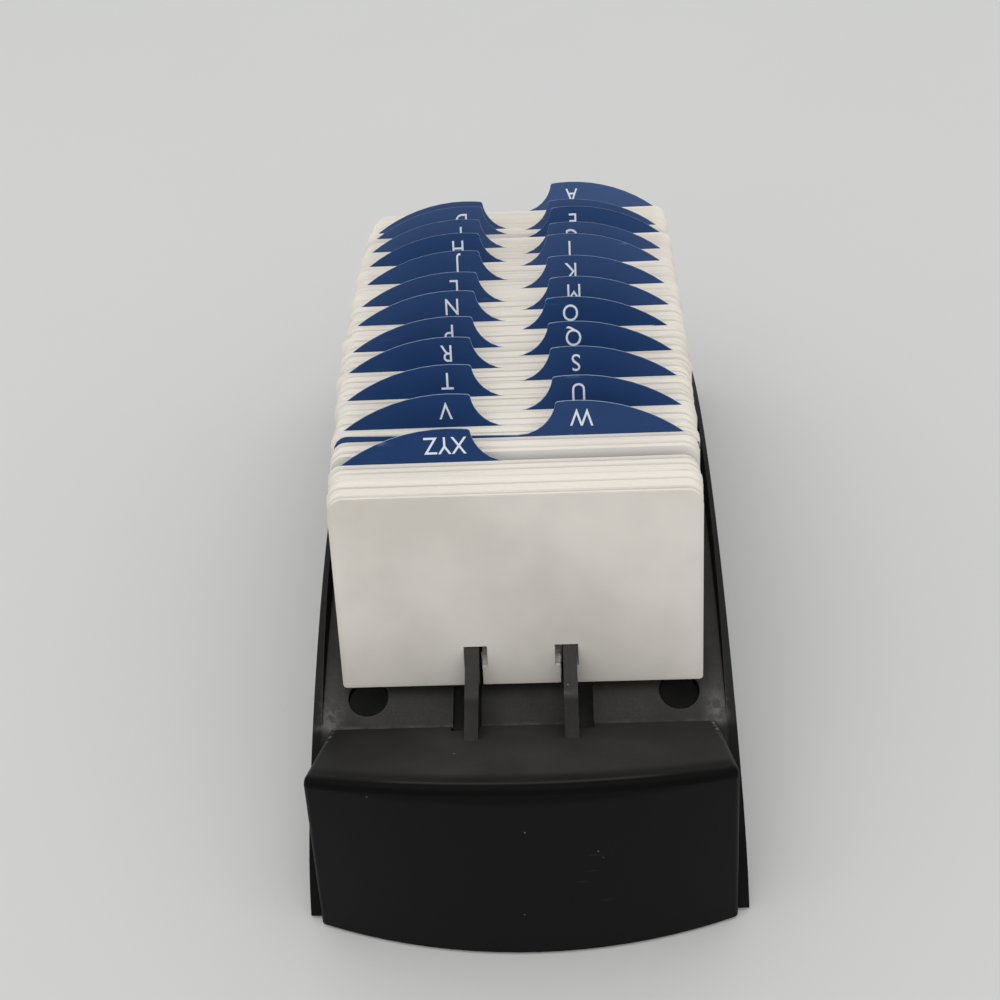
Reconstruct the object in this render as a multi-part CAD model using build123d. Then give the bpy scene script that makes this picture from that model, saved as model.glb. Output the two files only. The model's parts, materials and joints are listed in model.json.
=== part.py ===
"""Open-tray desktop card file with lettered guides, in millimetres.

X runs across the tray, Y along it with the front end towards -Y, and Z is up.
The origin is on the desk, under the middle of the tray. Both rails and the bed are
arcs about one centre line, so places along the tray are written as y on that arc.
"""
from build123d import *
import os
from math import asin, cos, degrees, radians, sin, sqrt, tan

# Card stock and the T-shaped notches that hook onto the rails
CARD_W = 101.6
CARD_H = 57.15
CARD_T = 0.3
CARD_PITCH = 0.7
GUIDE_T = 0.5
NOTCH_DEPTH = 12.0
NOTCH_CENTRE = 12.75
NOTCH_HALF = 3.3
MOUTH_HALF = 1.8
HOOK_DEPTH = 6.6

# Tab of a guide, measured from the middle and the top edge of the card
TAB_H = 10.4
TAB_OUTER = 47.3
TAB_CREST = 17.3
TAB_CORNER = (11.0, 9.9)
TAB_WAIST = (7.9, 3.4)
TAB_INNER = 2.5

# Arched rails and bed
RAIL_R = 308.0
RAIL_TOP = 62.0
RAIL_WEB_IN = 11.75
RAIL_WEB_OUT = 13.4
RAIL_LIP_OUT = 15.6
RAIL_LIP_T = 1.8
RAIL_SPAN = 18.1
BED_DROP = 13.6
BED_HALF = 52.0
BED_T = 2.5
BED_SPAN = 30.0
BANK_RISE = 1.4
BANK_OUT = 56.7
BANK_DRAFT = 2.0
SLOT_OUT = 19.8
SLOT_REACH = 84.5
SLOT_GAP = 0.3
HOLE_D = 11.5
HOLE_X = 44.2
HOLE_Y = 70.9

# Side walls, arched from foot to foot
RIM_Z = 1.0
WALL_T = 2.2
WALL_FOOT = 61.2
WALL_DRAFT = 2.75
ARCH_TOP = 59.5
ARCH_R = 166.0
ARCH_JOIN = 97.0
ARCH_REACH = 117.0

# Curved end blocks with a ramp that carries on from the bed. The plan at the foot and
# the head is half the width at the riser and at the front corner, then the reach of
# that corner and of the bowed front
BLOCK_T = 2.5
BLOCK_FOOT = (54.2, 57.9, 119.4, 129.6)
BLOCK_HEAD = (52.0, 55.6, 111.5, 118.1)
BLOCK_HEAD_Z = 72.0
BLOCK_CORNER_R = 1.5
RISER_FOOT_Y = 80.5
RISER_HEAD = (84.5, 42.75)
RISER_T = 1.7
RAMP_END = (113.0, 58.3)
RAMP_T = 1.9
RAMP_EDGE_R = 2.2
RIB_T = 1.8
RIB_DEPTH = 9.0
RIB_Y = (-40.0, 0.0, 40.0)

# Rubber feet, pushed into posts under the end blocks
FOOT_X = 46.0
FOOT_Y = 107.0
FOOT_D = 12.0
FOOT_CHAMFER = 0.4
POST_D = 11.0
POST_Z = 2.0
STEM_D = 6.0
STEM_LENGTH = 6.0
BORE_D = 6.4
BORE_DEPTH = 7.0

# How the cards lean back from upright, more and more towards the far end
LEAN_FRONT = 20.6
LEAN_GROWTH = 19.0
DECK_FRONT = -66.0
DECK_LENGTH = 146.0
DECK_LEAD = 2.2
PIVOT_GAP = 0.3

# Each guide, its place along the rails, the side of its tab (-1 is the left as
# seen from the front end) and the packs of cards standing in front of it
GUIDES = [
    ("xyz", -54.5, -1, (3, 3)), ("w", -46.0, 1, (4,)), ("v", -42.0, -1, (2,)),
    ("u", -36.0, 1, (3,)), ("t", -30.5, -1, (3,)), ("s", -24.0, 1, (3,)),
    ("r", -19.5, -1, (2,)), ("q", -13.0, 1, (3,)), ("p", -9.0, -1, (2,)),
    ("o", -1.0, 1, (4,)), ("n", 2.5, -1, (2,)), ("m", 9.0, 1, (3,)),
    ("l", 13.0, -1, (2,)), ("k", 19.5, 1, (3,)), ("j", 24.5, -1, (3,)),
    ("i", 32.5, 1, (4,)), ("h", 38.0, -1, (3,)), ("g", 43.0, 1, (3,)),
    ("f", 48.0, -1, (3,)), ("e", 58.0, 1, (3, 2)), ("d", 61.5, -1, (2,)),
    ("c", 64.0, 1, ()), ("b", 66.0, -1, ()), ("a", 79.5, 1, (4, 4)),
]

# How far cutting shapes run past what they cut, and joined shapes into each other
MARGIN = 30.0
OVERLAP = 1.0

# Worked out from the above
AXIS_Z = RAIL_TOP - RAIL_R
BED_R = RAIL_R - BED_DROP
CARD_TOP = CARD_H - NOTCH_DEPTH
ARC_LINE = Axis((0, 0, AXIS_Z), (1, 0, 0))


def arc_z(radius, y):
    """Height of an arc of this radius about the rails' centre line, at y."""
    return AXIS_Z + sqrt(radius**2 - y**2)


def sweep_arc(section, half_angle):
    """A cross-section drawn at the middle of the tray, turned to both ends."""
    return revolve(section, ARC_LINE, 2 * half_angle).rotate(ARC_LINE, -half_angle)


def mirrored(points):
    """An outline's right half, and then its left half the other way round."""
    return points + [(-x, z) for x, z in reversed(points)]


def arch_side(inset, foot_z):
    """Lengthwise outline of the side walls, drawn in by inset, as a flat face."""
    join_angle = asin(ARCH_JOIN / ARCH_R)
    crown = Vector(0, ARCH_TOP - ARCH_R)
    join = crown + Vector(sin(join_angle), cos(join_angle)) * (ARCH_R - inset)
    outer_join = crown + Vector(sin(join_angle), cos(join_angle)) * ARCH_R
    reach = ARCH_REACH - outer_join.X
    drop = outer_join.Y - RIM_Z
    end_r = (reach**2 + drop**2) / (2 * (drop * cos(join_angle) - reach * sin(join_angle)))
    end = outer_join - Vector(sin(join_angle), cos(join_angle)) * end_r
    r = end_r - inset
    foot = Vector(end.X + sqrt(r**2 - (foot_z - end.Y)**2), foot_z)
    half_way = (join - end).normalized() + (foot - end).normalized()
    middle = end + half_way.normalized() * r
    left = [Vector(-p.X, p.Y) for p in (foot, middle, join)]
    outline = [
        Line(left[0], foot),
        ThreePointArc(foot, middle, join),
        ThreePointArc(join, (0, ARCH_TOP - inset), left[2]),
        ThreePointArc(left[2], left[1], left[0]),
    ]
    return Plane.YZ * make_face(outline)


def wall_section(inset):
    """Cross-section of the drafted side walls, taller than the arch."""
    lean = tan(radians(WALL_DRAFT))
    right = [(WALL_FOOT - inset - lean * z, z) for z in (-OVERLAP, RAIL_TOP)]
    return Plane.XZ * make_face(Polyline(*mirrored(right), close=True))


def arch_body(inset, foot_z):
    """Everything inside the side walls' outer faces, drawn in by inset."""
    length = extrude(arch_side(inset, foot_z), WALL_FOOT + OVERLAP, both=True)
    return length & extrude(wall_section(inset), ARCH_REACH + OVERLAP, both=True)


def over_bed():
    """Room over the bed: flat, with a low bank along each wall and a drafted wall above."""
    low = RAIL_TOP - BED_DROP
    bank = low + BANK_RISE
    high = RAIL_TOP + MARGIN
    wide = BANK_OUT + (high - bank) * tan(radians(BANK_DRAFT))
    right = [(BED_HALF, low), (BANK_OUT, bank), (wide, high)]
    return sweep_arc(Plane.XZ * make_face(Polyline(*mirrored(right), close=True)), BED_SPAN)


def over_underside():
    """Everything over the underside of the bed, from past one wall to past the other."""
    low = RAIL_TOP - BED_DROP - BED_T
    right = [(WALL_FOOT + MARGIN, low), (WALL_FOOT + MARGIN, RAIL_TOP + MARGIN)]
    return sweep_arc(Plane.XZ * make_face(Polyline(*mirrored(right), close=True)), BED_SPAN)


def plan_face(corner, inset, z):
    """Plan of the front end block at one height: spread sides and a bowed front."""
    back_half, front_half, side_y, bow_y = corner
    back = (back_half - inset, -RISER_FOOT_Y + BLOCK_T)
    front = (front_half - inset, -side_y + inset)
    outline = [
        Polyline(*mirrored([front, back])),
        ThreePointArc((-front[0], front[1]), (0, -bow_y + inset), front),
    ]
    return Pos(0, 0, z) * make_face(outline)


def ramp_side(riser_t, ramp_t, foot_z):
    """Lengthwise outline under the riser and ramp, less the thickness of both."""
    foot = (-RISER_FOOT_Y - riser_t, arc_z(BED_R, RISER_FOOT_Y) - ramp_t)
    head = (-RISER_HEAD[0] - riser_t, RISER_HEAD[1] - ramp_t)
    slope = (RAMP_END[1] - RISER_HEAD[1]) / (RAMP_END[0] - RISER_HEAD[0])
    end = (-RAMP_END[0] - MARGIN - riser_t, RAMP_END[1] + MARGIN * slope - ramp_t)
    points = [(foot[0], foot_z), foot, head, end, (end[0], foot_z)]
    return Plane.YZ * make_face(Polyline(*points, close=True))


def block_shape(inset, riser_t, ramp_t, foot_z):
    """Front end block with sharp edges, drawn in by the inset and both thicknesses."""
    foot = plan_face(BLOCK_FOOT, inset, foot_z)
    head = plan_face(BLOCK_HEAD, inset, BLOCK_HEAD_Z)
    under_ramp = extrude(ramp_side(riser_t, ramp_t, foot_z), WALL_FOOT, both=True)
    return loft([foot, head], ruled=True) & under_ramp


def block_outside():
    """Front end block as a full shape: bowed, leaning front, riser, ramp and soft edges."""
    body = block_shape(0, 0, 0, RIM_Z)
    front_edges = body.edges().filter_by_position(Axis.Y, -BLOCK_FOOT[-1], -FOOT_Y)
    body = fillet(front_edges.sort_by(Axis.Z)[-1], RAMP_EDGE_R)
    front_edges = body.edges().filter_by_position(Axis.Y, -BLOCK_FOOT[-1], -FOOT_Y)
    return fillet(front_edges.filter_by_position(Axis.Z, POST_Z, RISER_HEAD[1]), BLOCK_CORNER_R)


def block_inside():
    """Room inside the front end block, open below."""
    return block_shape(BLOCK_T, RISER_T, RAMP_T, RIM_Z - OVERLAP)


def rail(side):
    """One rail: an upright web with a lip turned outward, on the same arc as the bed."""
    top = RAIL_TOP
    root = RAIL_TOP - BED_DROP - OVERLAP
    points = [
        (RAIL_WEB_IN, root), (RAIL_WEB_IN, top), (RAIL_LIP_OUT, top),
        (RAIL_LIP_OUT, top - RAIL_LIP_T), (RAIL_WEB_OUT, top - RAIL_LIP_T), (RAIL_WEB_OUT, root),
    ]
    section = make_face(Polyline(*[(side * x, z) for x, z in points], close=True))
    return sweep_arc(Plane.XZ * section, RAIL_SPAN)


def lip_slot(side):
    """Slot in the bed under the lip of one rail."""
    low = RAIL_TOP - BED_DROP - BED_T - MARGIN
    high = RAIL_TOP - RAIL_LIP_T - SLOT_GAP
    points = [(RAIL_WEB_OUT, low), (SLOT_OUT, low), (SLOT_OUT, high), (RAIL_WEB_OUT, high)]
    section = make_face(Polyline(*[(side * x, z) for x, z in points], close=True))
    return sweep_arc(Plane.XZ * section, degrees(asin(SLOT_REACH / BED_R)))


def bed_hole(x, y):
    """Round hole through the bed, square to it."""
    tilt = degrees(asin(y / BED_R))
    place = Pos(x, y, arc_z(BED_R, y)) * Rot(-tilt, 0, 0)
    return place * Cylinder(HOLE_D / 2, 4 * BED_T)


def post(x, y, block):
    """Post under the ramp that takes the stem of a rubber foot."""
    height = RAMP_END[1]
    body = Pos(x, y, POST_Z + height / 2) * Cylinder(POST_D / 2, height)
    bore = Pos(x, y, POST_Z + BORE_DEPTH / 2) * Cylinder(BORE_D / 2, BORE_DEPTH)
    return (body & block) - bore


def stiffener(y):
    """Cross rib under the bed, running from wall to wall."""
    top = arc_z(BED_R, y) - BED_T / 2
    plate = Pos(0, y, top - RIB_DEPTH / 2) * Box(2 * WALL_FOOT, RIB_T, RIB_DEPTH)
    return plate & arch_body(WALL_T / 2, RIM_Z)


def make_tray():
    """The moulded tray: arched walls, bed, rails, slots, holes and two hollow end blocks."""
    front = block_outside()
    back = front.mirror(Plane.XZ)
    shell = (arch_body(0, RIM_Z) - over_bed()) + front + back + rail(-1) + rail(1)
    under_bed = arch_body(WALL_T, RIM_Z - OVERLAP) - over_underside()
    hollow = block_inside()
    shell = shell - under_bed - hollow - hollow.mirror(Plane.XZ)
    for y in RIB_Y:
        shell += stiffener(y)
    for side in (-1, 1):
        shell -= lip_slot(side)
        for end in (-1, 1):
            shell -= bed_hole(side * HOLE_X, end * HOLE_Y)
            shell += post(side * FOOT_X, end * FOOT_Y, front if end < 0 else back)
    return shell


def make_foot(x, y):
    """Rubber foot: a round pad that stands on the desk and a stem in its post."""
    pad = Pos(x, y, POST_Z / 2) * Cylinder(FOOT_D / 2, POST_Z)
    pad = chamfer(pad.edges().sort_by(Axis.Z)[0], FOOT_CHAMFER)
    stem = Pos(x, y, POST_Z + STEM_LENGTH / 2) * Cylinder(STEM_D / 2, STEM_LENGTH)
    return pad + stem


def foot_line():
    """Lower edge of a card, from its left corner to its right, with both notches."""
    low = -NOTCH_DEPTH
    half = [
        (NOTCH_CENTRE - MOUTH_HALF, low), (NOTCH_CENTRE - MOUTH_HALF, -HOOK_DEPTH),
        (NOTCH_CENTRE - NOTCH_HALF, -HOOK_DEPTH), (NOTCH_CENTRE - NOTCH_HALF, 0),
        (NOTCH_CENTRE + NOTCH_HALF, 0), (NOTCH_CENTRE + NOTCH_HALF, -HOOK_DEPTH),
        (NOTCH_CENTRE + MOUTH_HALF, -HOOK_DEPTH), (NOTCH_CENTRE + MOUTH_HALF, low),
        (CARD_W / 2, low),
    ]
    return [(-x, y) for x, y in reversed(half)] + half


def card_face():
    """Plain card with its origin at the tops of the notches."""
    corners = [(CARD_W / 2, CARD_TOP), (-CARD_W / 2, CARD_TOP)]
    return make_face(Polyline(*foot_line(), *corners, close=True))


def guide_face(side):
    """Guide: a card with a curved tab on one side of its top edge."""
    crest_r = ((TAB_OUTER - TAB_CREST)**2 + TAB_H**2) / (2 * TAB_H)
    middle_x = (TAB_OUTER + TAB_CREST) / 2
    middle_y = TAB_H - crest_r + sqrt(crest_r**2 - (middle_x - TAB_CREST)**2)
    outline = [
        ThreePointArc((TAB_OUTER, 0), (middle_x, middle_y), TAB_CORNER),
        ThreePointArc(TAB_CORNER, TAB_WAIST, (TAB_INNER, 0)),
        Polyline((TAB_INNER, 0), (TAB_INNER, -OVERLAP), (TAB_OUTER, -OVERLAP), (TAB_OUTER, 0)),
    ]
    tab = Pos(0, CARD_TOP) * make_face(outline)
    if side < 0:
        tab = tab.mirror(Plane.YZ)
    return card_face() + tab


def lean_at(y):
    """How far a card at y leans back from upright, in degrees."""
    return LEAN_FRONT + LEAN_GROWTH * ((y - DECK_FRONT) / DECK_LENGTH)**2


def pivot_at(y):
    """Middle of the line along which a card at y rests on both rails."""
    angle = asin(y / RAIL_R)
    reach = RAIL_R + PIVOT_GAP
    return Vector(0, reach * sin(angle), AXIS_Z + reach * cos(angle))


def card_plane(y):
    """Plane of a card at y, facing the front end."""
    lean = radians(lean_at(y))
    return Plane(origin=pivot_at(y), x_dir=(1, 0, 0), z_dir=(0, -cos(lean), sin(lean)))


def pack_places():
    """Name, place along the rails and number of cards of each pack, front to back."""
    places = []
    start = DECK_FRONT - DECK_LEAD
    for name, y, side, packs in GUIDES:
        for order, count in enumerate(packs):
            room = (y - start) / len(packs)
            slack = room - (count - 1) * CARD_PITCH
            places.append((f"cards_{len(places) + 1:02d}", start + order * room + slack / 2, count))
        start = y
    return places


def make_pack(y, count):
    """Cards that tip as one about the first card's pivot, each resting on the rails."""
    cards = []
    for order in range(count):
        place = card_plane(y + order * CARD_PITCH)
        cards.append(place * extrude(card_face(), CARD_T / 2, both=True))
    return Compound(children=cards)


def make_guide(y, side):
    """One lettered guide, upright at its place on the rails."""
    return card_plane(y) * extrude(guide_face(side), GUIDE_T / 2, both=True)


def build():
    """All sub-parts by name."""
    nodes = {"tray": make_tray()}
    for end, y in (("front", -FOOT_Y), ("back", FOOT_Y)):
        nodes[f"foot_{end}_left"] = make_foot(-FOOT_X, y)
        nodes[f"foot_{end}_right"] = make_foot(FOOT_X, y)
    for name, y, side, packs in GUIDES:
        nodes[f"guide_{name}"] = make_guide(y, side)
    for name, y, count in pack_places():
        nodes[name] = make_pack(y, count)
    return nodes


if __name__ == "__main__":
    os.makedirs("parts", exist_ok=True)
    for node, solid in build().items():
        export_step(solid, f"parts/{node}.step")
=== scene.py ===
"""Looks of the desktop card file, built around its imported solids.

The tray and its feet keep their solids and get new finishes. Each pack of plain cards
and each lettered guide is replaced by thin, slightly bent cards that ride on its body.
Lengths in the card helpers are in millimetres, and MM turns them into metres.
"""

import json
from math import asin, cos, hypot, radians, sin, sqrt
from random import Random

import bpy
from bpy.props import FloatProperty, FloatVectorProperty, IntProperty, PointerProperty
from mathutils import Matrix, Vector


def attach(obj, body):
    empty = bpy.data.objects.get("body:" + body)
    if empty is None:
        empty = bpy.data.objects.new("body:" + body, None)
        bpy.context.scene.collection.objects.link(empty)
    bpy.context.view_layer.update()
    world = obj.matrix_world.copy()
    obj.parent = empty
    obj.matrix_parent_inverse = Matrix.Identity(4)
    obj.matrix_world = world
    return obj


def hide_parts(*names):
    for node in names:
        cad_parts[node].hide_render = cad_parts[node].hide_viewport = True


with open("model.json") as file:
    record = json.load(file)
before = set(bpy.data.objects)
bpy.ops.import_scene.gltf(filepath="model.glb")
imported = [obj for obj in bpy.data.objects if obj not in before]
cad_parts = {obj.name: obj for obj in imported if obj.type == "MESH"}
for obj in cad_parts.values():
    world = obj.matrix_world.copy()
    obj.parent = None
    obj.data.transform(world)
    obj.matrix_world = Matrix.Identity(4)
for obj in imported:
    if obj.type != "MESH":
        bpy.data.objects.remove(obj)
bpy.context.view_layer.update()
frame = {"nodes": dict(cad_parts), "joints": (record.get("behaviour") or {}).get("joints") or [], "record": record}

bl_info = {
    "name": "Card File Looks",
    "version": (1, 0, 0),
    "blender": (4, 5, 0),
    "location": "3D View > Sidebar > Card File",
    "description": "Dresses the packed card file with finishes, cards and lettered guides",
    "category": "Object",
}

MM = 0.001

# Rails that carry the cards, and how far the cards lean back along them
RAIL_R = 308.0
RAIL_AXIS_Z = -246.0
REST_GAP = 0.3
LEAN_FRONT = 20.6
LEAN_GROWTH = 19.0
DECK_FRONT = -66.0
DECK_LENGTH = 146.0

# Card blank, measured from the tops of its notches
HALF_W = 50.8
CARD_TOP = 45.15
CARD_FOOT = -12.0
HOOK_Y = -6.6
TOP_CORNER_R = 4.2
FOOT_CORNER_R = 1.0
NOTCH = (9.45, 16.05)
MOUTH = (10.95, 14.55)

# Where the card's mesh is divided: rows and columns over its plain face, and turns of its corners
FACE_ROWS = (14.0, 28.0)
FACE_COLUMNS = (28.0, 40.0, 45.5)
FOOT_CORNER_TURNS = (90, 45, 0)
TOP_CORNER_TURNS = (0, 20, 40, 60, 75, 90)

# Tab of a guide, measured from the middle and the top edge of the card: a long crest, a small
# shoulder and a flare that runs out into the card's top edge
TAB_CREST = (17.3, 9.9)
TAB_R = 50.0
TAB_OUT = TAB_CREST[0] + sqrt(TAB_R**2 - (TAB_R - TAB_CREST[1]) ** 2)
FLARE_START = 0.45
FLARE_R = 10.62
FLARE_TURNS = (0, 16, 30, 42, 52, 61, 69, 75.5, 80.8)
SHOULDER_CENTRE = (11.72, 8.78)
SHOULDER_R = 0.8
SHOULDER_TURNS = (150, 125, 100)
CREST_COLUMNS = (13.5, 17.3, 21.0, 25.0, 29.0, 33.0, 37.0, 40.5, 43.5, TAB_OUT)
TAB_ROWS = (0.0, 0.4, 0.8, 1.0)

# Printed band under a guide's top edge, and its soft lower edge
BAND = 4.5
BAND_BLUR = 0.1

# Letters on the tabs: their feet and middles, how narrow they are, the height of a capital as a
# share of the type's size, the space between them, their thickness and how clear of the card they lie
LETTER_FOOT = CARD_TOP + TAB_CREST[1] - 2.45
LETTER_MIDDLE = {1: 18.2, -1: -17.9}
LETTER_SQUEEZE = 0.86
CAP_SHARE = 0.729
LETTER_SPACING = 0.98
LETTER_CURVE_STEPS = 5
LETTER_RELIEF = 0.012
LETTER_CLEARANCE = 0.02

# How cards bend out of their plane at most: bowed from side to side, twisted, with a curled
# corner, and bent back towards the top; where a bow crosses the plane and where a curl starts
BOW_LEAST, BOW_MOST = -0.28, 0.34
TWIST = 0.16
CURL = 0.5
ROOF = 0.25
BOW_CROSSING = 0.4
CURL_START, CURL_SPAN = 0.72, 0.28
CARD_BEND = 0.8
FLAT_BEND = 0.3
CRISP_ANGLE = 50.0

# How the guides stand in the photographed file: how far from the node's place along the rails,
# how far sideways, and how faded the print is
GUIDE_SITS = {
    "xyz": (0.4, -0.6, 0.0), "w": (0.1, -0.45, 0.18), "v": (0.3, -0.75, 0.0), "u": (-0.2, 0.2, 0.05),
    "t": (0.1, -0.7, 0.0), "s": (-0.7, -0.2, 0.05), "r": (0.5, -1.2, 0.0), "q": (-1.0, -0.65, 0.0),
    "p": (-0.9, -0.85, 0.12), "o": (-1.5, -1.25, 0.0), "n": (0.1, -0.65, 0.15), "m": (-1.2, 0.0, 0.22),
    "l": (-0.5, -0.25, 0.2), "k": (0.1, -0.5, 0.3), "j": (0.5, 0.05, 0.18), "i": (1.0, -0.75, 0.42),
    "h": (-1.3, -0.4, 0.1), "g": (-1.2, 0.1, 0.48), "f": (-1.0, -0.65, 0.42), "e": (-3.5, 0.8, 0.12),
    "d": (-3.5, -0.4, 0.5), "c": (-2.8, 0.0, 0.55), "b": (-3.0, -0.45, 0.6), "a": (2.0, 0.8, 0.7),
}

# How deep a guide hangs on its rails; and for one that stands askew its roll in degrees and its depth
GUIDE_SINK = 0.3
GUIDE_ASKEW = {"guide_w": (-1.4, -0.35)}

# Bunches of plain cards: how many cards they hold, and the gaps between them
FIRST_BUNCH = (3, 4, 5)
LATER_BUNCHES = (3, 4, 5, 6)
BUNCH_GAP = (0.35, 0.75)
GAP_BEHIND_FIRST_GUIDE = 3.4
STEPS_BEFORE_NEXT_PACK = 1.6

# How the bunches, and the cards in them, differ: lean and roll in degrees, the rest in millimetres
BUNCH_LEAN = 0.25
BUNCH_ROLL = 0.2
BUNCH_SINK = (-0.05, 0.3)
CARD_ROLL = 0.04
CARD_SHIFT = 0.3
CARD_SINK = 0.03
LAST_CARD_RISE = 0.1

# How soiled the cards are: any bunch and any card at most, the last card and the handled first one
BUNCH_SOIL = 0.06
CARD_SOIL = 0.06
LAST_CARD_SOIL = 0.02
FIRST_CARD_SOIL = 0.36

# Each pack, guide and filled gap has random draws of its own, told apart by these factors
PACK_DRAWS = 100
GUIDE_DRAWS = 1000
GAP_DRAWS = 10000

# Tray, in metres: the bow of the blocks' lip per metre, and the lip's height
LIP_BOW = 2.135
LIP_Z = 0.0607

# Soft edges on the tray as (none, full): across it, along it, along it with the lip's bow, or up
WALL_RIMS = (0.0562, 0.0572)
BANKS = (0.0485, 0.0545)
# Between the walls is the soft edge of the painted shade under the bed.
BETWEEN_WALLS = (0.0555, 0.0545)
DUSTY_SIDE = (-0.036, -0.014)
BED_ENDS = (0.083, 0.0805)
RAMPS = (0.082, 0.086)
# The next four place the painted light at the lip: a painted dark reflection just above it, painted shade just
# under it, the height of its painted highlight, and the top of the front that painted shade covers.
LIP_DARK_REFLECTION = (0.1115, 0.1155)
BELOW_LIP = (0.1176, 0.1184)
LIP_TOP = (LIP_Z - 0.002, LIP_Z - 0.001)
UPPER_FRONT = (LIP_Z - 0.006, LIP_Z - 0.0035)

# Narrow places on the tray as (middle, reach)
BANK_CORNER_ACROSS = (0.0545, 0.0045)
BANK_CORNER_ALONG = (0.077, 0.008)
RISER_FOOT = (0.0803, 0.0016)
RAMP_SIDE_ACROSS = (0.0521, 0.0008)
RAMP_SIDE_ALONG = (0.088, 0.009)
RAMP_START = 0.083
RAMP_FLARE = 0.126
# Along this line lies the painted highlight on the lip.
LIP_LINE = (0.1174, 0.0007)

# How thick the dust lies in each place, and how much of it handling has wiped off; the lip's amount is no dust but
# a painted highlight along the lip line
DUST_ALL = 0.04
DUST_BED = 0.056
DUST_BANK = 0.075
DUST_RAMP = 0.028
DUST_WIPED = 0.024
DUST_RISER_FOOT = 0.12
DUST_CORNER = 0.16
DUST_RAMP_SIDE = 0.35
LIP_PAINTED_HIGHLIGHT = 0.05

# The bed's radius in millimetres, and the soft edge 0.3 to 0.8 mm under its face where the painted shade of the
# underside starts, as squared distances from the arch's axis in square metres
BED_R = RAIL_R - 13.6
UNDER_BED = tuple(((BED_R - depth) * MM) ** 2 for depth in (0.3, 0.8))

# Colours that aren't settings: where light never reaches, dust on rubber, greyed guide stock, its
# darker core, the cool light from all round and the lamp's warmer one
SHADE = (0.0006, 0.0006, 0.0006)
RUBBER_DUST = (0.16, 0.15, 0.14)
GREYED_STOCK = (0.6, 0.58, 0.54)
STOCK_CORE = (0.24, 0.28, 0.36)
ROOM_LIGHT = (0.97, 0.985, 1.0)
LAMP_LIGHT = (1.0, 0.985, 0.96)

# Stage: half the floor's side, its darker patches, and the lamp's place and sides, in metres
FLOOR_REACH = 4.0
FLOOR_PATCH_SHARE = 0.25
FLOOR_PATCH_SHADE = 0.93
LAMP_PLACE = (-0.1, -0.2, 1.5)
LAMP_SIDES = (1.6, 1.6)

# Camera that matches the photograph: focal length in widths of the picture, place, and the
# directions to the right of the picture and into it
FOCAL_WIDTHS = 1499.85 / 1000.0
SENSOR_WIDTH = 36.0
NEAREST_SEEN = 0.01
CAMERA_PLACE = (0.01489, -0.34709, 0.36865)
CAMERA_RIGHT = (0.99843, 0.01272, -0.05445)
CAMERA_AHEAD = (-0.04623, 0.73561, -0.67583)

BODY_OF = {node: body for body, group in frame["record"]["behaviour"]["bodies"].items() for node in group}
PIVOT_Y = {j["child"]: j["pos_m"][1] / MM for j in frame["joints"]}
GUIDES = sorted((n for n in frame["nodes"] if n.startswith("guide_")), key=lambda n: PIVOT_Y[BODY_OF[n]])
PACKS = sorted((n for n in frame["nodes"] if n.startswith("cards_")), key=lambda n: PIVOT_Y[BODY_OF[n]])
LEFT_TABS = set("xyz v t r p n l j h f d b".split())


class Value:
    """A socket that takes part in expressions, each operation adding its Math node."""

    def __init__(self, owner, socket):
        self.owner = owner
        self.socket = socket

    def math(self, operation, *others, clamp=False):
        settings = {"operation": operation, "use_clamp": clamp}
        return self.owner.node("ShaderNodeMath", settings, dict(enumerate((self, *others))))

    def __add__(self, other):
        return self.math("ADD", other)

    def __sub__(self, other):
        return self.math("SUBTRACT", other)

    def __rsub__(self, other):
        return (self * -1.0) + other

    def __mul__(self, other):
        return self.math("MULTIPLY", other)

    def __abs__(self):
        return self.math("ABSOLUTE")

    __radd__ = __add__
    __rmul__ = __mul__

    def clamped(self):
        return self.math("ADD", 0.0, clamp=True)

    def smaller(self, other):
        return self.math("MINIMUM", other)

    def rise(self, low, high):
        """0 up to low, 1 from high on, with a soft slope between; falls where low is the higher."""
        values = {"Value": self, "From Min": low, "From Max": high}
        return self.owner.node("ShaderNodeMapRange", {"interpolation_type": "SMOOTHSTEP"}, values)

    def near(self, place, reach):
        """1 at place, falling to 0 at reach on either side."""
        return abs(self - place).rise(reach, 0.0)

    def beside(self, name):
        """Another output of the same node."""
        return Value(self.owner, self.socket.node.outputs[name])


class Nodes:
    """A node tree under construction."""

    def __init__(self, tree):
        self.tree = tree
        tree.nodes.clear()

    def node(self, kind, settings=None, sockets=None, out=0):
        """Adds a node: its settings first, then its sockets' values and links."""
        made = self.tree.nodes.new(kind)
        for key, value in (settings or {}).items():
            setattr(made, key, value)
        for key, value in (sockets or {}).items():
            if isinstance(value, Value):
                self.tree.links.new(value.socket, made.inputs[key])
            else:
                made.inputs[key].default_value = value
        return Value(self, made.outputs[out]) if made.outputs else None


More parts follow.
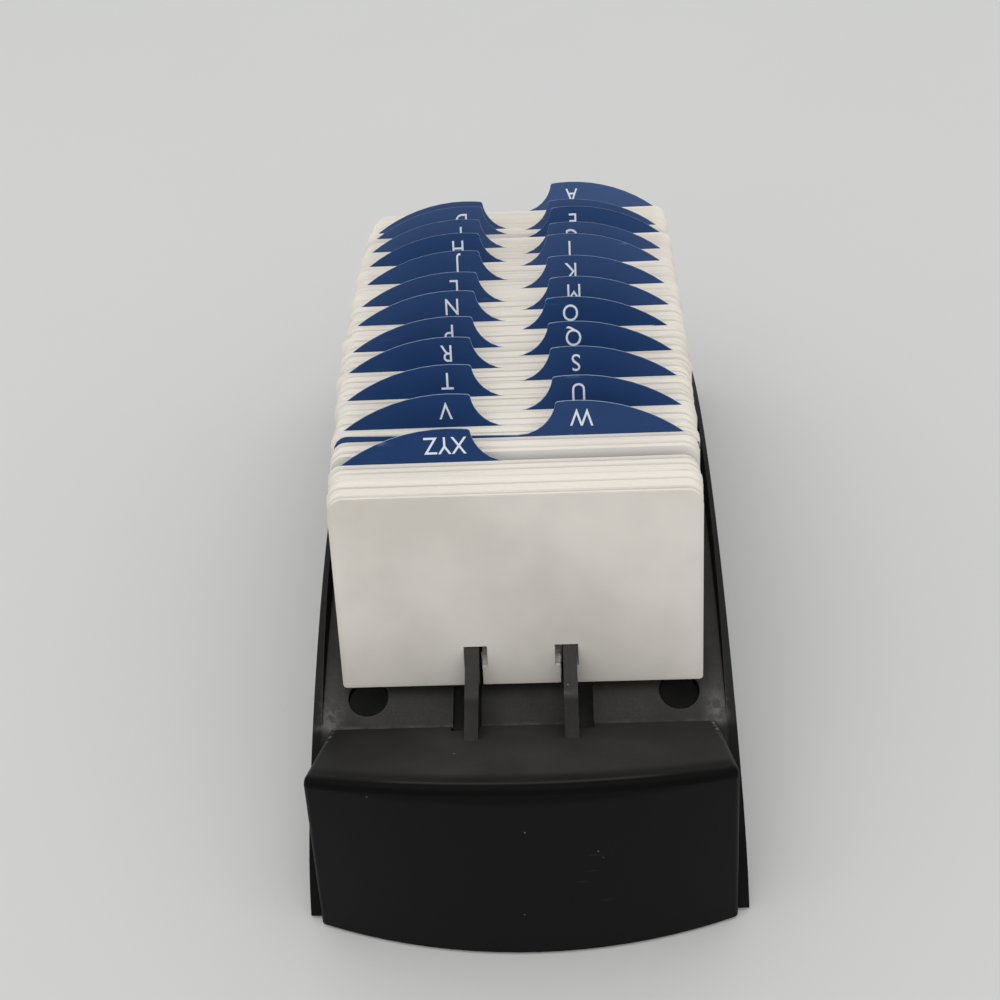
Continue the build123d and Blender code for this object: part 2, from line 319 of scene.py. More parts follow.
class Finish(Nodes):
    """A material under construction."""

    def __init__(self, name):
        self.material = bpy.data.materials.new(name)
        self.material.use_nodes = True
        super().__init__(self.material.node_tree)

    def place(self):
        """Position in the part's own frame, in metres."""
        return self.node("ShaderNodeTexCoord", out="Object")

    def split(self, vector):
        first = self.node("ShaderNodeSeparateXYZ", sockets={"Vector": vector})
        return first, first.beside("Y"), first.beside("Z")

    def on_card(self):
        """Place on the flat card: across, up, and how far under the outline, in millimetres."""
        place = self.node("ShaderNodeAttribute", {"attribute_name": "card_place"}, out="Vector")
        return self.split(place)

    def tone(self):
        """How soiled or faded this one card is."""
        return self.node("ShaderNodeAttribute", {"attribute_name": "tone"}, out="Fac")

    def stretched(self, vector, by):
        """The place multiplied along each axis, which draws a pattern out where the factor is small."""
        return self.node("ShaderNodeVectorMath", {"operation": "MULTIPLY"}, {0: vector, 1: by})

    def noise(self, vector, scale, detail=3.0, rough=0.55):
        values = {"Vector": vector, "Scale": scale, "Detail": detail, "Roughness": rough}
        return self.node("ShaderNodeTexNoise", sockets=values)

    def spots(self, vector, scale, size):
        """Small round spots, one in each cell at most."""
        values = {"Vector": vector, "Scale": scale, "Randomness": 1.0}
        return self.node("ShaderNodeTexVoronoi", sockets=values, out="Distance").rise(size, size * 0.5)

    def mix(self, share, first, second):
        """Colour between first and second."""
        values = {"Factor": share, 6: first, 7: second}
        return self.node("ShaderNodeMix", {"data_type": "RGBA"}, values, out=2)

    def bump(self, height, strength, distance):
        values = {"Height": height, "Strength": strength, "Distance": distance}
        return self.node("ShaderNodeBump", sockets=values)

    def surface(self, **sockets):
        """Closes the material with its shader; the names are the shader's, with _ for spaces."""
        values = {key.replace("_", " "): value for key, value in sockets.items()}
        shader = self.node("ShaderNodeBsdfPrincipled", sockets=values)
        self.node("ShaderNodeOutputMaterial", sockets={"Surface": shader})
        return self.material


def rgb(colour):
    return (*colour, 1.0)


def black_plastic(colour, dust):
    """Satin moulded plastic: fine grain, dust where it settles, blotches, specks and scratches, with painted light
    at the blocks' lip (a painted highlight along it, a painted dark reflection above it, painted shade under it)
    and painted shade under the bed.
    """
    f = Finish("tray_plastic_worn_and_painted_light")
    at = f.place()
    x, y, z = f.split(at)
    side = abs(x)
    end = abs(y)
    bow = end + x * x * LIP_BOW
    up = f.split(f.node("ShaderNodeNewGeometry", out="True Normal"))[2].rise(0.45, 0.95)
    cloud = f.noise(at, scale=55.0, detail=5.0, rough=0.6)
    patch = f.noise(at, scale=18.0)
    fine = f.noise(at, scale=1400.0, detail=2.0)
    crumbs = f.noise(at, scale=420.0).rise(0.42, 0.6)
    streaks = f.noise(at, scale=160.0).rise(0.38, 0.68)

    bed = end.rise(*BED_ENDS)
    bank = side.rise(*BANKS) * bed
    corner = side.near(*BANK_CORNER_ACROSS) * end.near(*BANK_CORNER_ALONG) * crumbs
    riser_foot = end.near(*RISER_FOOT) * streaks
    off_ramp_side = side - (end - RAMP_START) * RAMP_FLARE
    ramp_side = off_ramp_side.near(*RAMP_SIDE_ACROSS) * end.near(*RAMP_SIDE_ALONG) * crumbs
    ramp = end.rise(*RAMPS)
    wiped = patch.rise(0.4, 0.62) * ramp
    # Painted highlight: a thin line along the top of the blocks' lip, laid on as extra dust.
    lip = bow.near(*LIP_LINE) * z.rise(*LIP_TOP)

    # The film is dust, and also painted light at the lip: taken off just above the lip as a painted dark
    # reflection, and added along the lip line as the painted highlight.
    dust_and_lip_light = DUST_ALL + bed * DUST_BED + bank * DUST_BANK + x.rise(*DUSTY_SIDE) * ramp * DUST_RAMP
    dust_and_lip_light = (dust_and_lip_light - wiped * DUST_WIPED) * (0.45 + cloud * 1.1)
    # Painted dark reflection: the dust is taken off the ramp just above the lip, so a dark band shows there.
    dust_and_lip_light = dust_and_lip_light * (1.0 - side.rise(*WALL_RIMS) * 0.8) * (1.0 - bow.rise(*LIP_DARK_REFLECTION))
    dust_and_lip_light = dust_and_lip_light + riser_foot * DUST_RISER_FOOT + corner * DUST_CORNER
    dust_and_lip_light = dust_and_lip_light + ramp_side * DUST_RAMP_SIDE + lip * LIP_PAINTED_HIGHLIGHT
    settled_dust_and_lip_light = (dust_and_lip_light * up * (0.75 + fine * 0.5)).clamped()

    lines = f.stretched(at, (40.0, 900.0, 900.0))
    scratch = f.noise(lines, scale=1.0, detail=1.0).rise(0.74, 0.78)
    scratch = scratch * f.noise(at, scale=30.0, detail=1.0).rise(0.6, 0.7)
    specks = f.spots(at, scale=150.0, size=0.05) * f.noise(at, scale=60.0, detail=0.0).rise(0.48, 0.6)

    # Painted shade: the tray's inside under the bed, seen through the holes, and a band on the front just under
    # the lip.
    height = z - RAIL_AXIS_Z * MM
    painted_shade_under_bed = (y * y + height * height).rise(*UNDER_BED) * side.rise(*BETWEEN_WALLS) * bed
    painted_shade_under_lip = bow.rise(*BELOW_LIP) * z.rise(*UPPER_FRONT) * (1.0 - lip)

    base = f.mix(settled_dust_and_lip_light, rgb(colour), rgb(dust))
    base = f.mix((scratch * 0.03 + specks * 0.35).clamped(), base, rgb(dust))
    # The painted shade is mixed in as near black.
    base = f.mix((painted_shade_under_bed + painted_shade_under_lip).clamped(), base, rgb(SHADE))
    rough = 0.42 + patch * 0.08 + settled_dust_and_lip_light * 1.5
    grain = f.noise(at, scale=2600.0, detail=2.0) * 0.6 + fine * 0.4 - scratch * 0.3
    normal = f.bump(grain, strength=0.15, distance=0.05 * MM)
    return f.surface(Base_Color=base, Roughness=rough.clamped(), Normal=normal, Specular_IOR_Level=0.09)


def foot_rubber(colour):
    """Black rubber that has picked up some desk dust."""
    f = Finish("foot_rubber_worn")
    at = f.place()
    grime = f.noise(at, scale=260.0, detail=4.0)
    base = f.mix(grime.rise(0.5, 0.8) * 0.3, rgb(colour), rgb(RUBBER_DUST))
    normal = f.bump(f.noise(at, scale=1800.0), strength=0.3, distance=0.05 * MM)
    return f.surface(Base_Color=base, Roughness=0.72 + grime * 0.2, Normal=normal, Specular_IOR_Level=0.3)


def plain_stock(colour, grime):
    """Uncoated card: paper fibre, faint stains and greyed, handled edges."""
    f = Finish("plain_card_stock")
    u, v = f.on_card()[:2]
    at = f.place()
    fibre = f.noise(f.stretched(at, (1.0, 2.2, 2.2)), scale=900.0, rough=0.7)
    stain = f.noise(at, scale=28.0, detail=4.0).rise(0.52, 0.85)
    blotch = f.noise(at, scale=20.0, detail=4.0).rise(0.36, 0.68)
    border = (HALF_W - abs(u)).smaller(v - CARD_FOOT).rise(1.6, 0.0)
    soil = border * 0.1 + stain * 0.16 + fibre * 0.05 + f.tone() * (0.62 + blotch * 0.7)
    base = f.mix(soil.clamped(), rgb(colour), rgb(grime))
    normal = f.bump(fibre, strength=0.25, distance=0.04 * MM)
    return f.surface(Base_Color=base, Roughness=0.78 + fibre * 0.12, Normal=normal, Specular_IOR_Level=0.2)


def printed_stock(colour, faded, paper, rim):
    """Coated guide card: print over its top strip and tab, faded here and there, worn pale at the rim."""
    f = Finish("guide_card_print")
    v, depth = f.on_card()[1:]
    at = f.place()
    fibre = f.noise(at, scale=1000.0, rough=0.7)
    cloud = f.noise(at, scale=70.0, detail=5.0, rough=0.6)
    rub = f.noise(f.stretched(at, (60.0, 700.0, 700.0)), scale=1.0, detail=2.0).rise(0.62, 0.72)
    band = v.rise(CARD_TOP - BAND - BAND_BLUR, CARD_TOP - BAND + BAND_BLUR)
    chip = (depth + fibre * 0.12).rise(0.17, 0.09) * 0.5
    wear = (chip + depth.rise(1.3, 0.0) * cloud.rise(0.5, 0.75) * rub * 0.4).clamped()
    navy = f.mix((f.tone() + cloud * 0.1).clamped(), rgb(colour), rgb(faded))
    navy = f.mix((rub * cloud.rise(0.5, 0.8) * 0.1).clamped(), navy, rgb(rim))
    navy = f.mix(wear, navy, rgb(rim))
    plain = f.mix(fibre * 0.1, rgb(paper), rgb(GREYED_STOCK))
    base = f.mix(band, plain, navy)
    rough = 0.44 + cloud * 0.14 + rub * 0.1
    normal = f.bump(fibre, strength=0.1, distance=0.03 * MM)
    return f.surface(Base_Color=base, Roughness=rough, Normal=normal, Specular_IOR_Level=0.12)


def cut_edge(rim):
    """Core of the guide card, seen along its cut edge."""
    f = Finish("guide_cut_edge")
    at = f.place()
    fibre = f.noise(at, scale=700.0)
    base = f.mix(fibre * 0.5, rgb(rim), rgb(STOCK_CORE))
    normal = f.bump(fibre, strength=0.3, distance=0.03 * MM)
    return f.surface(Base_Color=base, Roughness=0.8 + fibre * 0.1, Normal=normal, Specular_IOR_Level=0.2)


def letter_ink(white, navy):
    """Unprinted card that shows through as the letter, with print creeping in."""
    f = Finish("guide_letter")
    at = f.place()
    worn = f.noise(at, scale=900.0, detail=4.0, rough=0.7)
    base = f.mix(worn.rise(0.6, 0.8) * 0.3 + 0.02, rgb(white), rgb(navy))
    normal = f.bump(worn, strength=0.15, distance=0.02 * MM)
    return f.surface(Base_Color=base, Roughness=0.5 + worn * 0.1, Normal=normal, Specular_IOR_Level=0.3)


def lean_at(y):
    """How far a card at y leans back from upright, in radians."""
    return radians(LEAN_FRONT + LEAN_GROWTH * ((y - DECK_FRONT) / DECK_LENGTH) ** 2)


def card_frame(y, lean_more=0.0, roll=0.0, shift=0.0, sink=0.0):
    """Matrix from card millimetres (across, up, towards the front) to the part's metres."""
    lean = lean_at(y) + radians(lean_more)
    angle = asin(y / RAIL_R)
    reach = RAIL_R + REST_GAP
    pivot = Vector((shift, reach * sin(angle), RAIL_AXIS_Z + reach * cos(angle)))
    turn = Matrix((
        (1.0, 0.0, 0.0, 0.0),
        (0.0, sin(lean), -cos(lean), 0.0),
        (0.0, cos(lean), sin(lean), 0.0),
        (0.0, 0.0, 0.0, 1.0),
    ))
    in_plane = Matrix.Rotation(radians(roll), 4, "Z") @ Matrix.Translation((0.0, -sink, 0.0))
    return Matrix.Diagonal((MM, MM, MM, 1.0)) @ Matrix.Translation(pivot) @ turn @ in_plane


def tab_outline():
    """Outline of the tab as (across, up) over the card's top edge, from its flare to its far end."""
    outline = []
    for turn in map(radians, FLARE_TURNS):
        outline.append((FLARE_START + FLARE_R * sin(turn), FLARE_R * (1 - cos(turn))))
    across, up = SHOULDER_CENTRE
    for turn in map(radians, SHOULDER_TURNS):
        outline.append((across + SHOULDER_R * cos(turn), up + SHOULDER_R * sin(turn)))
    for u in CREST_COLUMNS:
        outline.append((u, TAB_CREST[1] - TAB_R + sqrt(TAB_R**2 - (u - TAB_CREST[0]) ** 2)))
    return outline


def half_width(v, tabbed):
    """Half the card's width at v, where a tabbed side runs on down the tab's own arc."""
    if tabbed:
        return min(HALF_W, TAB_CREST[0] + sqrt(TAB_R**2 - (v - CARD_TOP - TAB_CREST[1] + TAB_R) ** 2))
    over_top = v - CARD_TOP + TOP_CORNER_R
    over_foot = CARD_FOOT + FOOT_CORNER_R - v
    for over, r in ((over_top, TOP_CORNER_R), (over_foot, FOOT_CORNER_R)):
        if over > 0:
            return HALF_W - r + sqrt(max(0.0, r * r - over * over))
    return HALF_W


def card_rows():
    """Heights of the card's rows from foot to top, closer together in its round corners."""
    foot = [CARD_FOOT + FOOT_CORNER_R * (1 - sin(radians(d))) for d in FOOT_CORNER_TURNS]
    top = [CARD_TOP - TOP_CORNER_R * (1 - sin(radians(d))) for d in TOP_CORNER_TURNS]
    return foot + [HOOK_Y, 0.0, *FACE_ROWS] + top


class CardGrid:
    """Flat card as points (across, up, depth under the outline) and faces; side 0 has no tab."""

    def __init__(self, side):
        self.points = []
        self.faces = []
        self.index = {}
        outline = tab_outline() if side else []
        height = {round(side * u, 3): up for u, up in outline}
        half = [0.0, *NOTCH, *MOUTH, *FACE_COLUMNS, HALF_W]
        blank = {round(s * u, 3) for u in half for s in (1, -1)}
        columns = sorted(blank | set(height) - {round(side * TAB_OUT, 3)})
        rows = card_rows()
        for u0, u1 in zip(columns, columns[1:]):
            middle = abs(u0 + u1) / 2
            for v0, v1 in zip(rows, rows[1:]):
                in_mouth = MOUTH[0] < middle < MOUTH[1] and v0 < HOOK_Y
                in_notch = NOTCH[0] < middle < NOTCH[1] and HOOK_Y <= v0 < 0
                if not in_mouth and not in_notch:
                    ring = [(u0, v0), (u1, v0), (u1, v1), (u0, v1)]
                    self.face([self.on_blank(side, u, v, height.get(u, 0.0)) for u, v in ring])
        self.add_tab(side, outline)

    def on_blank(self, side, u, v, tab):
        """Point of the card's blank under the tab, drawn in at its round corners."""
        w = half_width(v, v > 0 and side * u > 0)
        return self.point(max(-w, min(w, u)), v, CARD_TOP + tab - v)

    def point(self, u, v, depth):
        key = (round(u, 3), round(v, 3))
        if key not in self.index:
            self.index[key] = len(self.points)
            self.points.append((u, v, depth))
        return self.index[key]

    def face(self, ring):
        corners = list(dict.fromkeys(ring))
        if len(corners) > 2:
            self.faces.append(corners)

    def add_tab(self, side, outline):
        """Fills the space from the card's top edge up to the tab's outline."""
        def inside(u, up):
            return min(hypot(u - a, up - b) for a, b in outline)

        for (u0, t0), (u1, t1) in zip(outline, outline[1:]):
            for s0, s1 in zip(TAB_ROWS, TAB_ROWS[1:]):
                ring = [(u0, t0 * s0), (u1, t1 * s0), (u1, t1 * s1), (u0, t0 * s1)]
                self.face([self.point(side * u, CARD_TOP + up, inside(u, up)) for u, up in ring[::side]])


class Bend:
    """How one card bends out of its plane, in millimetres; one corner in three is curled."""

    def __init__(self, draw, amount):
        self.bow = draw.uniform(BOW_LEAST, BOW_MOST) * amount
        self.twist = draw.uniform(-TWIST, TWIST) * amount
        self.curl_left = draw.choice((0.0, 0.0, draw.uniform(-CURL, CURL))) * amount
        self.curl_right = draw.choice((0.0, 0.0, draw.uniform(-CURL, CURL))) * amount
        self.roof = draw.uniform(-ROOF, ROOF) * amount

    def out(self, u, v):
        share = u / HALF_W
        lift = max(0.0, v) / CARD_TOP
        curl = self.curl_left if u < 0 else self.curl_right
        near_corner = max(0.0, abs(share) - CURL_START) / CURL_SPAN
        return (
            self.bow * (share**2 - BOW_CROSSING) * lift
            + self.twist * share * lift
            + self.roof * lift**2
            + curl * near_corner**2 * lift**3
        )


def make_mesh(name, sheets, thickness):
    """One mesh of several bent cards; each sheet is (grid, matrix, bend, tone)."""
    verts = []
    faces = []
    places = []
    tones = []
    for grid, matrix, bend, tone in sheets:
        start = len(verts)
        for u, v, depth in grid.points:
            verts.append(matrix @ Vector((u, v, bend.out(u, v))))
            places.extend((u, v, depth))
            tones.append(tone)
        faces.extend([start + i for i in ring] for ring in grid.faces)
    mesh = bpy.data.meshes.new(name)
    mesh.from_pydata(verts, [], faces)
    mesh.attributes.new("card_place", "FLOAT_VECTOR", "POINT").data.foreach_set("vector", places)
    mesh.attributes.new("tone", "FLOAT", "POINT").data.foreach_set("value", tones)
    mesh.shade_smooth()
    made = bpy.data.objects.new(name, mesh)
    bpy.context.scene.collection.objects.link(made)
    solid = made.modifiers.new("stock", "SOLIDIFY")
    solid.thickness = thickness
    solid.offset = 0.0
    solid.use_even_offset = True
    crisp = made.modifiers.new("crisp_edges", "EDGE_SPLIT")
    crisp.split_angle = radians(CRISP_ANGLE)
    return made


def stand_for(piece, node):
    """The piece rides on the node's body and replaces the node."""
    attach(piece, BODY_OF[node])
    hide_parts(node)


def guide_place(node):
    """Where a guide stands along the rails, in millimetres."""
    return PIVOT_Y[BODY_OF[node]] + GUIDE_SITS[node.removeprefix("guide_")][0]


def pack_room(node, step):
    """First and last place along the rails of a pack's cards, and the guide close behind them, if any."""
    y = PIVOT_Y[BODY_OF[node]]
    before = [g for g in GUIDES if PIVOT_Y[BODY_OF[g]] < y]
    behind = [g for g in GUIDES if PIVOT_Y[BODY_OF[g]] > y][0]
    mates = [PIVOT_Y[BODY_OF[n]] for n in PACKS if n != node]
    front = guide_place(before[-1]) if before else DECK_FRONT - step
    gap = GAP_BEHIND_FIRST_GUIDE if len(before) == 1 else step
    start = y if any(front < m < y for m in mates) else front + gap
    mates_behind = [m for m in mates if y < m < guide_place(behind)]
    if mates_behind:
        return start, mates_behind[0] - step * STEPS_BEFORE_NEXT_PACK, None
    return start, guide_place(behind) - step, behind


def card_places(draw, start, end, step):
    """Places along the rails as a list for each bunch: tight bunches with a narrow gap between them."""
    bunches = [[]]
    y = start
    left = draw.choice(FIRST_BUNCH)
    while y < end:
        bunches[-1].append(y)
        left -= 1
        y += step
        if left == 0:
            y += draw.uniform(*BUNCH_GAP)
            left = draw.choice(LATER_BUNCHES)
            bunches.append([])
    spare = end - bunches[-1][-1] if bunches[-1] else 0.0
    bunches[-1] = [y + spare for y in bunches[-1]] or [end]
    return bunches


class CardFileSettings(bpy.types.PropertyGroup):
    plastic: FloatVectorProperty(
        name="Tray Plastic", description="Colour of the moulded tray", subtype="COLOR",
        default=(0.0043, 0.0043, 0.0045), min=0.0, max=1.0)
    dust: FloatVectorProperty(
        name="Dust", description="Colour of the dust on the tray", subtype="COLOR",
        default=(0.42, 0.405, 0.38), min=0.0, max=1.0)
    rubber: FloatVectorProperty(
        name="Foot Rubber", description="Colour of the feet", subtype="COLOR",
        default=(0.018, 0.018, 0.018), min=0.0, max=1.0)
    paper: FloatVectorProperty(
        name="Card Stock", description="Colour of the plain cards", subtype="COLOR",
        default=(0.905, 0.86, 0.79), min=0.0, max=1.0)
    grime: FloatVectorProperty(
        name="Card Grime", description="Colour of handled card stock", subtype="COLOR",
        default=(0.44, 0.41, 0.36), min=0.0, max=1.0)
    print_colour: FloatVectorProperty(
        name="Guide Print", description="Colour printed on the guides", subtype="COLOR",
        default=(0.0115, 0.043, 0.14), min=0.0, max=1.0)
    faded_print: FloatVectorProperty(
        name="Faded Print", description="Colour of the most faded guide print", subtype="COLOR",
        default=(0.062, 0.11, 0.245), min=0.0, max=1.0)
    rim_colour: FloatVectorProperty(
        name="Worn Rim", description="Colour of a guide's worn and cut edges", subtype="COLOR",
        default=(0.42, 0.52, 0.70), min=0.0, max=1.0)
    letter_colour: FloatVectorProperty(
        name="Letters", description="Colour of the letters on the tabs", subtype="COLOR",
        default=(0.80, 0.85, 0.92), min=0.0, max=1.0)
    card_thickness: FloatProperty(
        name="Card Thickness", description="Thickness of a plain card", subtype="DISTANCE",
        unit="LENGTH", default=0.00036, min=0.0001, max=0.0006)
    guide_thickness: FloatProperty(
        name="Guide Thickness", description="Thickness of a lettered guide", subtype="DISTANCE",
        unit="LENGTH", default=0.0003, min=0.0001, max=0.0008)
    card_step: FloatProperty(
        name="Card Step", description="Room that one plain card takes in a tight bunch",
        subtype="DISTANCE", unit="LENGTH", default=0.0004, min=0.0003, max=0.004)
    letter_height: FloatProperty(
        name="Letter Height", description="Height of the letters on the tabs", subtype="DISTANCE",
        unit="LENGTH", default=0.0052, min=0.002, max=0.008)
    seed: IntProperty(
        name="Seed", description="Which of many like arrangements of the cards is made", default=7)
    floor: FloatVectorProperty(
        name="Floor", description="Colour of the floor and background", subtype="COLOR",
        default=(0.66, 0.66, 0.645), min=0.0, max=1.0)
    lamp_power: FloatProperty(
        name="Lamp Power", description="Power of the overhead lamp", subtype="POWER", unit="POWER",
        default=6.0, min=0.0, max=500.0)
    world_strength: FloatProperty(
        name="Ambient Light", description="Strength of the light from all round", default=0.82,
        min=0.0, max=2.0)


class CARDFILE_OT_tray(bpy.types.Operator):
    """Give the tray its dusty satin plastic, with painted light and shade at the lip and painted shade under the
    bed
    """
    bl_idname = "cardfile.tray"
    bl_label = "Finish Tray"

    def execute(self, context):
        s = context.scene.card_file
        frame["nodes"]["tray"].data.materials.clear()
        frame["nodes"]["tray"].data.materials.append(black_plastic(s.plastic, s.dust))
        return {"FINISHED"}


class CARDFILE_OT_feet(bpy.types.Operator):
    """Give the four feet their rubber"""
    bl_idname = "cardfile.feet"
    bl_label = "Finish Feet"

    def execute(self, context):
        rubber = foot_rubber(context.scene.card_file.rubber)
        for name, node in frame["nodes"].items():
            if name.startswith("foot_"):
                node.data.materials.clear()
                node.data.materials.append(rubber)
        return {"FINISHED"}


def bunch_of_cards(draw, grid, places):
    """Sheets of one tight bunch: its cards share a bend, a lean and a roll."""
    bend = Bend(draw, CARD_BEND)
    lean_more = draw.uniform(-BUNCH_LEAN, BUNCH_LEAN)
    roll = draw.uniform(-BUNCH_ROLL, BUNCH_ROLL)
    sink = draw.uniform(*BUNCH_SINK)
    soil = draw.uniform(0.0, BUNCH_SOIL)
    sheets = []
    for y in places:
        card_roll = roll + draw.uniform(-CARD_ROLL, CARD_ROLL)
        shift = draw.gauss(0.0, CARD_SHIFT)
        card_sink = sink + draw.uniform(-CARD_SINK, CARD_SINK)
        matrix = card_frame(y, lean_more, card_roll, shift, card_sink)
        sheets.append((grid, matrix, bend, soil + draw.uniform(0.0, CARD_SOIL)))
    return sheets


def pack_sheets(draw, grid, start, end, step, guide):
    """Sheets from start to end; the last one hides the top edge of a straight guide close behind it."""
    sheets = []
    for places in card_places(draw, start, end, step):
        sheets += bunch_of_cards(draw, grid, places)
    flat = Bend(draw, FLAT_BEND)
    if guide in GUIDE_ASKEW:
        sheets[-1] = (grid, card_frame(end), flat, LAST_CARD_SOIL)
    elif guide:
        shift = GUIDE_SITS[guide.removeprefix("guide_")][1]
        sheets[-1] = (grid, card_frame(end, shift=shift, sink=-LAST_CARD_RISE), flat, LAST_CARD_SOIL)
    return sheets


class CARDFILE_OT_cards(bpy.types.Operator):
    """Make the packs of plain cards between the guides"""
    bl_idname = "cardfile.cards"
    bl_label = "Make Plain Cards"

    def execute(self, context):
        s = context.scene.card_file
        stock = plain_stock(s.paper, s.grime)
        grid = CardGrid(0)
        step = s.card_step / MM
        for number, node in enumerate(PACKS):
            draw = Random(s.seed * PACK_DRAWS + number)
            start, end, guide = pack_room(node, step)
            sheets = pack_sheets(draw, grid, start, end, step, guide)
            if number == 0:
                sheets[0] = (grid, card_frame(start), Bend(draw, FLAT_BEND), FIRST_CARD_SOIL)
            piece = make_mesh("pack_" + node, sheets, s.card_thickness)
            piece.data.materials.append(stock)
            stand_for(piece, node)
        self.fill_between_guides(grid, stock, s, step)
        return {"FINISHED"}

    def fill_between_guides(self, grid, stock, s, step):
        """Adds the few cards between guides with no pack between them; they ride with the guide behind."""
        packs = [PIVOT_Y[BODY_OF[n]] for n in PACKS]
        for number, (front, behind) in enumerate(zip(GUIDES, GUIDES[1:])):
            if any(PIVOT_Y[BODY_OF[front]] < y < PIVOT_Y[BODY_OF[behind]] for y in packs):
                continue
            draw = Random(s.seed * GAP_DRAWS + number)
            start, end = guide_place(front) + step, guide_place(behind) - step
            sheets = pack_sheets(draw, grid, start, end, step, behind)
            piece = make_mesh("cards_before_" + behind, sheets, s.card_thickness)
            piece.data.materials.append(stock)
            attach(piece, BODY_OF[behind])


class CARDFILE_OT_guides(bpy.types.Operator):
    """Make the lettered guides with their curved tabs"""
    bl_idname = "cardfile.guides"
    bl_label = "Make Guides"

    def execute(self, context):
        s = context.scene.card_file
        face = printed_stock(s.print_colour, s.faded_print, s.paper, s.rim_colour)
        rim = cut_edge(s.rim_colour)
        ink = letter_ink(s.letter_colour, s.print_colour)
        grids = {side: CardGrid(side) for side in (-1, 1)}
        for number, node in enumerate(GUIDES):
            word = node.removeprefix("guide_")
            side = -1 if word in LEFT_TABS else 1
            shift, fade = GUIDE_SITS[word][1:]
            bend = Bend(Random(s.seed * GUIDE_DRAWS + number), FLAT_BEND)
            roll, sink = GUIDE_ASKEW.get(node, (0.0, GUIDE_SINK))
            matrix = card_frame(guide_place(node), roll=roll, shift=shift, sink=sink)
            piece = make_mesh("index_" + node, [(grids[side], matrix, bend, fade)], s.guide_thickness)
            piece.modifiers["stock"].material_offset_rim = 1
            piece.data.materials.append(face)
            piece.data.materials.append(rim)
            stand_for(piece, node)
            letter = make_letter(word, side, matrix, bend, s)
            letter.data.materials.append(ink)
            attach(letter, BODY_OF[node])
        return {"FINISHED"}


def make_letter(word, side, matrix, bend, s):
    """The guide's letters, lying on its tab with their feet towards the crest."""
    text = bpy.data.curves.new("letters_" + word, "FONT")
    text.body = word.upper()
    text.align_x = "CENTER"
    text.size = s.letter_height / MM / CAP_SHARE
    text.extrude = LETTER_RELIEF
    text.resolution_u = LETTER_CURVE_STEPS
    text.space_character = LETTER_SPACING
    shaper = bpy.data.objects.new("letters_" + word, text)
    bpy.context.scene.collection.objects.link(shaper)
    mesh = bpy.data.meshes.new_from_object(shaper.evaluated_get(bpy.context.evaluated_depsgraph_get()))
    bpy.data.objects.remove(shaper)
    bpy.data.curves.remove(text)
    front = s.guide_thickness / MM / 2 + LETTER_CLEARANCE
    for vertex in mesh.vertices:
        u = LETTER_MIDDLE[side] - vertex.co.x * LETTER_SQUEEZE
        v = LETTER_FOOT - vertex.co.y
        vertex.co = matrix @ Vector((u, v, bend.out(u, v) + front + vertex.co.z))
    mesh.name = "letters_" + word
    made = bpy.data.objects.new("letters_" + word, mesh)
    bpy.context.scene.collection.objects.link(made)
    return made


def area_lamp(name, place, sides, power, colour):
    """Lamp at place, turned towards the foot of the card file."""
    light = bpy.data.lights.new(name, "AREA")
    light.shape = "RECTANGLE"
    light.size, light.size_y = sides
    light.energy = power
    light.color = colour
    lamp = bpy.data.objects.new(name, light)
    bpy.context.scene.collection.objects.link(lamp)
    lamp.location = place
    lamp.rotation_euler = (-Vector(place)).to_track_quat("-Z", "Y").to_euler()


def soft_room(backdrop, strength):
    """World that lights from all round, and shows its backdrop colour where it is seen or mirrored."""
    world = bpy.data.worlds.new("soft_room")
    world.use_nodes = True
    room = Nodes(world.node_tree)
    camera = room.node("ShaderNodeLightPath", out="Is Camera Ray")
    shown = (camera + camera.beside("Is Glossy Ray") + camera.beside("Is Transmission Ray")).clamped()
    light = room.node("ShaderNodeBackground", sockets={"Color": rgb(ROOM_LIGHT), "Strength": strength})
    back = room.node("ShaderNodeBackground", sockets={"Color": rgb(backdrop)})
    either = room.node("ShaderNodeMixShader", sockets={0: shown, 1: light, 2: back})
    room.node("ShaderNodeOutputWorld", sockets={"Surface": either})
    return world


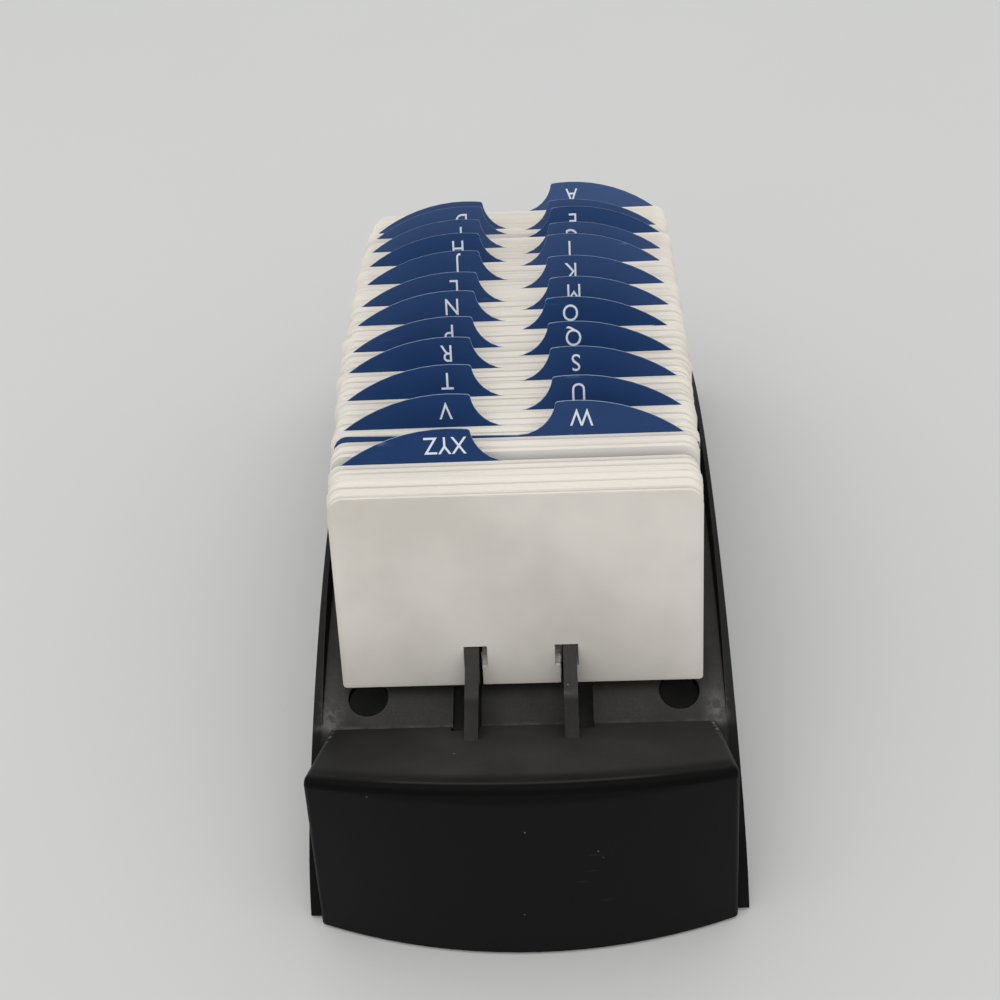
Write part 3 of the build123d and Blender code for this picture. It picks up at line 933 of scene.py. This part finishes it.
class CARDFILE_OT_stage(bpy.types.Operator):
    """Make the pale floor, the soft light and the camera"""
    bl_idname = "cardfile.stage"
    bl_label = "Make Stage"

    def execute(self, context):
        s = context.scene.card_file
        self.lay_floor(context.scene.collection, s.floor)
        context.scene.world = soft_room(s.floor, s.world_strength)
        area_lamp("overhead", LAMP_PLACE, LAMP_SIDES, s.lamp_power, LAMP_LIGHT)
        context.scene.camera = self.set_camera(context.scene.collection)
        context.scene.view_settings.view_transform = "Standard"
        return {"FINISHED"}

    def lay_floor(self, collection, colour):
        """Pale paper floor, a little darker in soft patches."""
        mesh = bpy.data.meshes.new("floor")
        corners = [(x * FLOOR_REACH, y * FLOOR_REACH, 0) for x, y in ((-1, -1), (1, -1), (1, 1), (-1, 1))]
        mesh.from_pydata(corners, [], [(0, 1, 2, 3)])
        floor = bpy.data.objects.new("floor", mesh)
        collection.objects.link(floor)
        f = Finish("floor_paper")
        at = f.place()
        darker = rgb([c * FLOOR_PATCH_SHADE for c in colour])
        shade = f.mix(f.noise(at, scale=9.0, detail=2.0) * FLOOR_PATCH_SHARE, rgb(colour), darker)
        normal = f.bump(f.noise(at, scale=700.0), strength=0.05, distance=0.1 * MM)
        paper = f.surface(Base_Color=shade, Roughness=0.9, Normal=normal, Specular_IOR_Level=0.1)
        mesh.materials.append(paper)

    def set_camera(self, collection):
        """Camera that sees the card file as the photograph does."""
        lens = bpy.data.cameras.new("photo_view")
        lens.sensor_width = SENSOR_WIDTH
        lens.lens = SENSOR_WIDTH * FOCAL_WIDTHS
        lens.clip_start = NEAREST_SEEN
        camera = bpy.data.objects.new("photo_view", lens)
        collection.objects.link(camera)
        right = Vector(CAMERA_RIGHT).normalized()
        ahead = Vector(CAMERA_AHEAD).normalized()
        turn = Matrix((right, right.cross(ahead), -ahead)).transposed().to_4x4()
        camera.matrix_world = Matrix.Translation(CAMERA_PLACE) @ turn
        return camera


class CARDFILE_PT_panel(bpy.types.Panel):
    """Sizes and colours of the card file, and the steps that make it"""
    bl_idname = "CARDFILE_PT_panel"
    bl_label = "Card File"
    bl_space_type = "VIEW_3D"
    bl_region_type = "UI"
    bl_category = "Card File"

    def draw(self, context):
        settings = context.scene.card_file
        for name in CardFileSettings.__annotations__:
            self.layout.prop(settings, name)
        for step in STEPS:
            self.layout.operator(step.bl_idname)


STEPS = (CARDFILE_OT_tray, CARDFILE_OT_feet, CARDFILE_OT_cards, CARDFILE_OT_guides, CARDFILE_OT_stage)
CLASSES = (CardFileSettings, *STEPS, CARDFILE_PT_panel)


def register():
    for cls in CLASSES:
        bpy.utils.register_class(cls)
    bpy.types.Scene.card_file = PointerProperty(type=CardFileSettings)


def unregister():
    del bpy.types.Scene.card_file
    for cls in reversed(CLASSES):
        bpy.utils.unregister_class(cls)


def use(operator):
    """Runs one of this file's operators, and stops the script if it couldn't finish."""
    if operator() != {"FINISHED"}:
        raise RuntimeError("an operator of the card file stopped early")


def main():
    register()
    for step in (bpy.ops.cardfile.tray, bpy.ops.cardfile.feet, bpy.ops.cardfile.cards,
                 bpy.ops.cardfile.guides, bpy.ops.cardfile.stage):
        use(step)
    bpy.context.view_layer.update()


if __name__ == "__main__":
    main()
